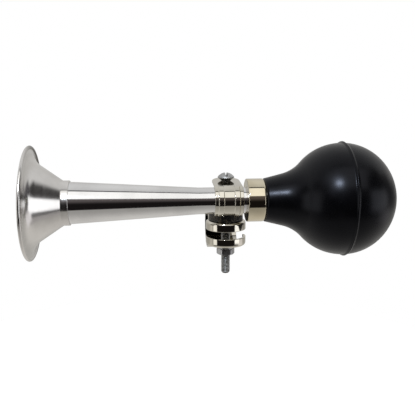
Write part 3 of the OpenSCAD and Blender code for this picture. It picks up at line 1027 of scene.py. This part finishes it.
def floor():
    """Plain pale floor that fades into the white ground and isn't mirrored in the metal."""
    place = (-0.01, 0.14, -0.2)
    darker, lighter = (0.56, 0.55, 0.535), (0.59, 0.58, 0.565)
    camera_glow = 0.9
    bpy.ops.mesh.primitive_circle_add(vertices=96, radius=0.32, fill_type="NGON", location=place)
    plane = bpy.context.object
    plane.name = "floor"
    material = bpy.data.materials.new("floor_white")
    material.use_nodes = True
    nodes = Nodes(material.node_tree)
    clouds = nodes.noise(scale=30, detail=2.0)
    colour = nodes.mix(nodes.ramp(clouds, 0.3, 0.7), darker, lighter)
    diffuse = nodes.add("ShaderNodeBsdfDiffuse")
    nodes.link(colour, diffuse.inputs[0])
    path = nodes.add("ShaderNodeLightPath")
    glow = nodes.add("ShaderNodeEmission")
    nodes.link(nodes.product(path.outputs["Is Camera Ray"], camera_glow), glow.inputs["Strength"])
    both = nodes.add("ShaderNodeAddShader")
    nodes.link(diffuse.outputs[0], both.inputs[0])
    nodes.link(glow.outputs[0], both.inputs[1])
    clear = nodes.add("ShaderNodeBsdfTransparent")
    seen = nodes.add("ShaderNodeMixShader")
    nodes.link(path.outputs["Is Glossy Ray"], seen.inputs[0])
    nodes.link(both.outputs[0], seen.inputs[1])
    nodes.link(clear.outputs[0], seen.inputs[2])
    output = nodes.add("ShaderNodeOutputMaterial")
    nodes.link(seen.outputs[0], output.inputs[0])
    plane.data.materials.append(material)


# Light that the room sends to the metal: walls, ceiling and ground, then the patches on them
TOP_FRONT, TOP, BACK_HIGH = (0.78, 0.78, 0.785), (0.93, 0.93, 0.93), (0.70, 0.69, 0.675)
FRONT_LOW, BOTTOM, BACK_LOW = (0.45, 0.44, 0.42), (0.80, 0.78, 0.75), (0.55, 0.54, 0.515)
DARK_LOW, DARK_HIGH = (0.012, 0.010, 0.010), (0.14, 0.12, 0.12)
BRIGHT, WHITE, CREAM = (1.85, 1.87, 1.93), (1.5, 1.49, 1.47), (1.12, 1.09, 1.12)
PALE, DUSK, SHADE = (0.50, 0.48, 0.48), (0.20, 0.19, 0.20), (0.085, 0.08, 0.09)
BLACK = (0.05, 0.047, 0.047)


def studio():
    """White to the camera. To the metal: a dark camera side, two tall soft boxes, one above, pale walls."""
    world = bpy.data.worlds.new("studio")
    bpy.context.scene.world = world
    world.use_nodes = True
    nodes = Nodes(world.node_tree)
    x, y, z = nodes.place("Generated")
    front = nodes.product(y, -1.0)
    to_degrees = 180 / math.pi
    turn = nodes.product(nodes.math("ARCTAN2", x, front), to_degrees)
    pitch = nodes.product(nodes.math("ARCTAN2", z, front), to_degrees)
    height = nodes.product(nodes.math("ARCSINE", z), to_degrees)
    side = nodes.math("ABSOLUTE", x)

    def band(value, low, high, soft):
        rise = nodes.ramp(value, low - soft, low + soft)
        return nodes.product(rise, nodes.ramp(value, high - soft, high + soft, 1, 0))

    above = nodes.mix(nodes.ramp(pitch, 77, 115), TOP_FRONT, TOP)
    above = nodes.mix(nodes.ramp(pitch, 125, 170), above, BACK_HIGH)
    below = nodes.mix(nodes.ramp(pitch, -110, -35), BOTTOM, FRONT_LOW)
    below = nodes.mix(nodes.ramp(pitch, -160, -125), BACK_LOW, below)
    walls = nodes.mix(nodes.ramp(height, -10, 10), below, above)
    dark = nodes.mix(nodes.ramp(height, 0, 25), DARK_LOW, DARK_HIGH)

    # The right soft box has a lower edge that climbs at its far end and a slanted upper edge
    climb_from, climb = 76, 0.5
    slant_from, slant = 60, 0.27
    late = nodes.math("MAXIMUM", nodes.math("SUBTRACT", turn, climb_from), 0)
    over = nodes.ramp(nodes.math("SUBTRACT", height, nodes.product(late, climb)), -16, -15)
    past = nodes.math("SUBTRACT", turn, slant_from)
    under = nodes.ramp(nodes.math("ADD", height, nodes.product(past, slant)), 15, 19, 1, 0)

    # Patches, painted in this order: two masks and a tone. Bands of side are shares, all others are degrees.
    patches = (
        # Camera side
        (band(turn, -84, 84, 3), band(height, -31, 35, 1.5), dark),
        # Above the right soft box, and behind it in two steps
        (band(turn, 50, 98, 8), band(height, 12, 45, 4), BLACK),
        (band(turn, 88, 114, 5), band(height, -12, 22, 4), SHADE),
        (band(turn, 106, 130, 6), band(height, -12, 4, 3), DUSK),
        # Pale table edge low on the right, with a dark gap over it
        (band(turn, 44, 90, 6), band(height, -36, -24.5, 2.5), PALE),
        (band(turn, 45, 72, 8), band(height, -24, -10, 1.5), BLACK),
        # Left soft box
        (band(turn, -82, -58, 2), band(height, -19, 16, 4), WHITE),
        # Softer light under the right soft box, and the box itself
        (band(turn, 74, 106, 5), band(height, -29, -13, 3), CREAM),
        (band(turn, 48, 92, 3), nodes.product(over, under), BRIGHT),
        # Soft box above and the dark gap behind it
        (band(pitch, 31, 75, 1.2), band(side, -1, 0.62, 0.05), WHITE),
        (band(pitch, 77.5, 83, 0.8), band(side, -1, 0.7, 0.05), BLACK),
    )
    colour = walls
    for across, upright, tone in patches:
        colour = nodes.mix(nodes.product(across, upright), colour, tone)
    path = nodes.add("ShaderNodeLightPath")
    colour = nodes.mix(path.outputs["Is Camera Ray"], colour, (1.0, 1.0, 1.0))
    back = nodes.add("ShaderNodeBackground")
    nodes.link(colour, back.inputs[0])
    output = nodes.add("ShaderNodeOutputWorld")
    nodes.link(back.outputs[0], output.inputs[0])


def key_lamp():
    """One small cool lamp, high on the left of the camera, for the bulb's highlight and the shadow."""
    target = Vector((-0.005, -0.026, 0.02))
    away = Vector((-0.18, -0.565, 0.52))
    data = bpy.data.lights.new("key", "AREA")
    data.shape = "DISK"
    data.energy = 4.2
    data.size = 0.11
    data.color = (0.78, 0.88, 1.0)
    lamp = bpy.data.objects.new("key", data)
    bpy.context.scene.collection.objects.link(lamp)
    lamp.location = target + away
    lamp.rotation_euler = away.to_track_quat("Z", "Y").to_euler()


def camera():
    """The photograph's camera: in front, a little to the left and above, aimed near the horn's middle."""
    azimuth, elevation, distance = math.radians(-5.15), math.radians(11.1), 0.338
    aim_x_mm, drop_mm = -11.2, 3.64
    flat = math.cos(elevation)
    back = Vector((math.sin(azimuth) * flat, -math.cos(azimuth) * flat, math.sin(elevation)))
    right = Vector((0, 0, 1)).cross(back).normalized()
    up = back.cross(right)
    target = Vector((aim_x_mm, HORN_Y, HORN_Z)) * MM - up * drop_mm * MM
    data = bpy.data.cameras.new("camera")
    data.sensor_width = 36
    data.lens = 54.3
    data.clip_start, data.clip_end = 0.01, 20
    obj = bpy.data.objects.new("camera", data)
    bpy.context.scene.collection.objects.link(obj)
    turn = Matrix((right, up, back)).transposed().to_4x4()
    obj.matrix_world = Matrix.Translation(target + back * distance) @ turn
    bpy.context.scene.camera = obj


floor()
studio()
key_lamp()
camera()
bpy.context.scene.view_settings.view_transform = "Standard"
